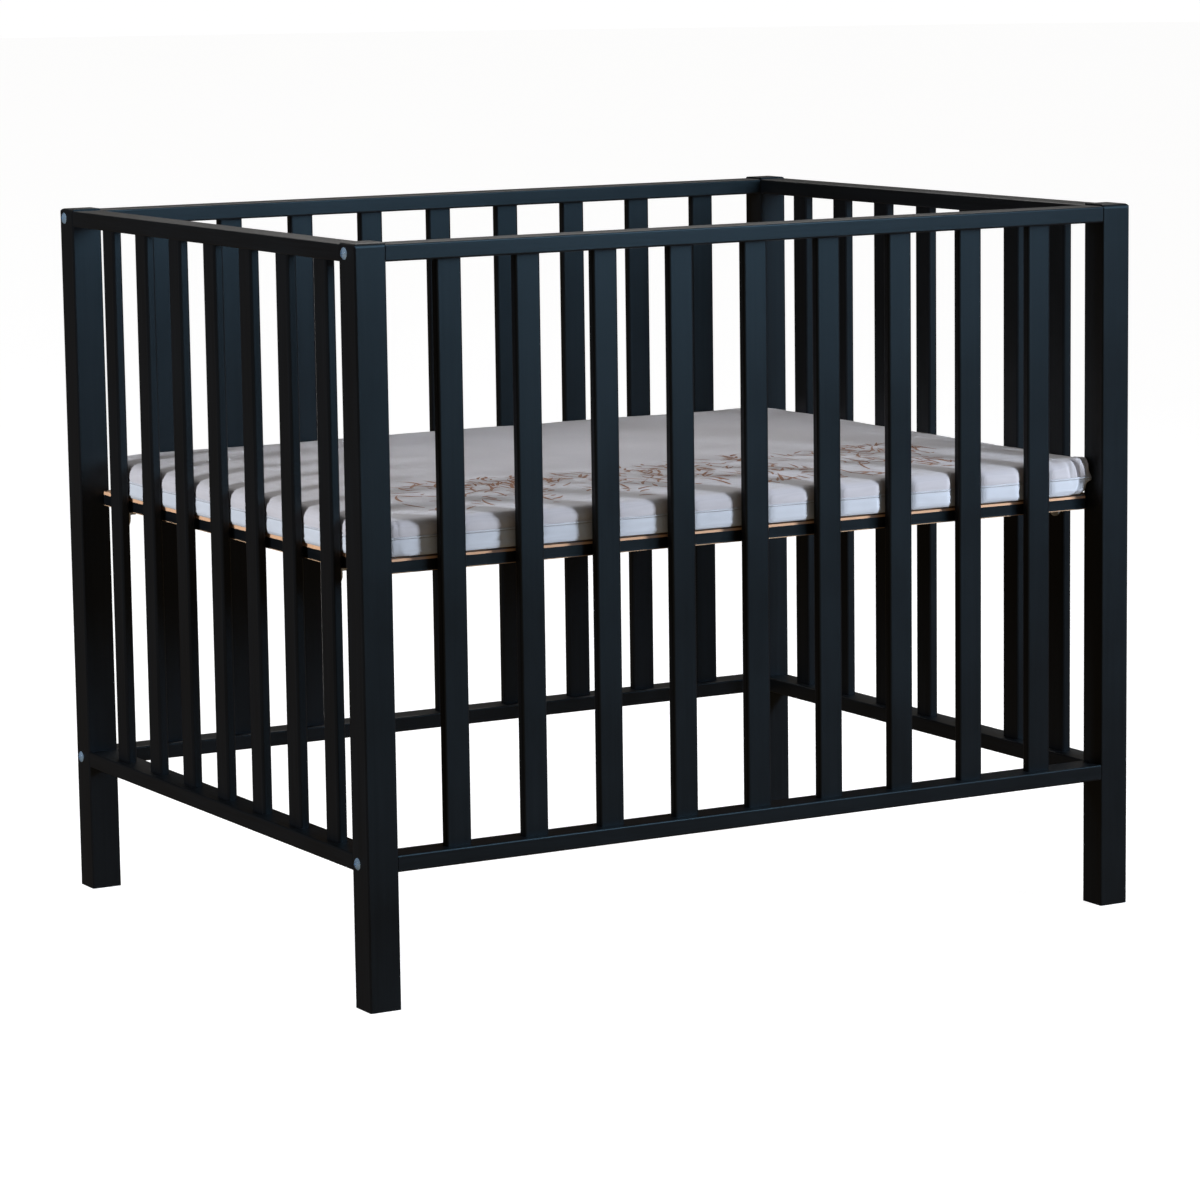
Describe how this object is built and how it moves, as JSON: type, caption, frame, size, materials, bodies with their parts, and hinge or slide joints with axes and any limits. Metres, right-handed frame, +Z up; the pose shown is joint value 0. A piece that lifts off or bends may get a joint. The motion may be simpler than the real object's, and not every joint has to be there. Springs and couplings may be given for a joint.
{
  "type": "playpen",
  "caption": "Slatted wooden playpen frame with corner posts, a raised base board on steel supports, and a padded mattress that lifts out.",
  "frame": {"origin": "on the floor, at the centre of the four posts' footprint", "axes": "+X along the long sides, +Y from the front side to the back side, +Z up"},
  "size_m": [0.9763, 0.76, 0.8],
  "materials": {
    "black_painted_wood": "solid beech, satin black lacquer, eased edges",
    "light_board": "thin light plywood, unpainted edge",
    "raw_batten": "raw pine batten inside the base",
    "beech_dowel": "raw beech dowel",
    "zinc_steel": "bright zinc plate",
    "insert_brass": "turned brass",
    "mattress_cover": "fine woven cotton cover in two parts, piped seam, printed top"
  },
  "bodies": {
    "frame": {"back_left_post": "black_painted_wood", "back_lower_rail": "black_painted_wood", "back_right_post": "black_painted_wood", "back_slat_1": "black_painted_wood", "back_slat_2": "black_painted_wood", "back_slat_3": "black_painted_wood", "back_slat_4": "black_painted_wood", "back_slat_5": "black_painted_wood", "back_slat_6": "black_painted_wood", "back_slat_7": "black_painted_wood", "back_slat_8": "black_painted_wood", "back_slat_9": "black_painted_wood", "back_top_rail": "black_painted_wood", "end_rail_dowels": "beech_dowel", "frame_bolts": "zinc_steel", "front_left_post": "black_painted_wood", "front_lower_rail": "black_painted_wood", "front_right_post": "black_painted_wood", "front_slat_1": "black_painted_wood", "front_slat_2": "black_painted_wood", "front_slat_3": "black_painted_wood", "front_slat_4": "black_painted_wood", "front_slat_5": "black_painted_wood", "front_slat_6": "black_painted_wood", "front_slat_7": "black_painted_wood", "front_slat_8": "black_painted_wood", "front_slat_9": "black_painted_wood", "front_top_rail": "black_painted_wood", "left_lower_rail": "black_painted_wood", "left_slat_1": "black_painted_wood", "left_slat_2": "black_painted_wood", "left_slat_3": "black_painted_wood", "left_slat_4": "black_painted_wood", "left_slat_5": "black_painted_wood", "left_slat_6": "black_painted_wood", "left_slat_7": "black_painted_wood", "left_top_rail": "black_painted_wood", "locating_dowels": "beech_dowel", "right_lower_rail": "black_painted_wood", "right_slat_1": "black_painted_wood", "right_slat_2": "black_painted_wood", "right_slat_3": "black_painted_wood", "right_slat_4": "black_painted_wood", "right_slat_5": "black_painted_wood", "right_slat_6": "black_painted_wood", "right_slat_7": "black_painted_wood", "right_top_rail": "black_painted_wood", "support_brackets": "zinc_steel", "support_screws": "zinc_steel", "threaded_inserts": "insert_brass"},
    "base": {"base_back_bar": "black_painted_wood", "base_battens": "raw_batten", "base_bottom_board": "light_board", "base_front_bar": "black_painted_wood", "base_left_bar": "black_painted_wood", "base_right_bar": "black_painted_wood", "base_top_board": "light_board"},
    "mattress": {"mattress": "mattress_cover"}
  },
  "joints": [
    {"name": "base_lift", "type": "slide", "parent": "frame", "child": "base", "axis": [0, 0, 1], "range_m": [0, 0.26]},
    {"name": "mattress_lift", "type": "slide", "parent": "base", "child": "mattress", "axis": [0, 0, 1], "range_m": [0, 0.26]}
  ]
}
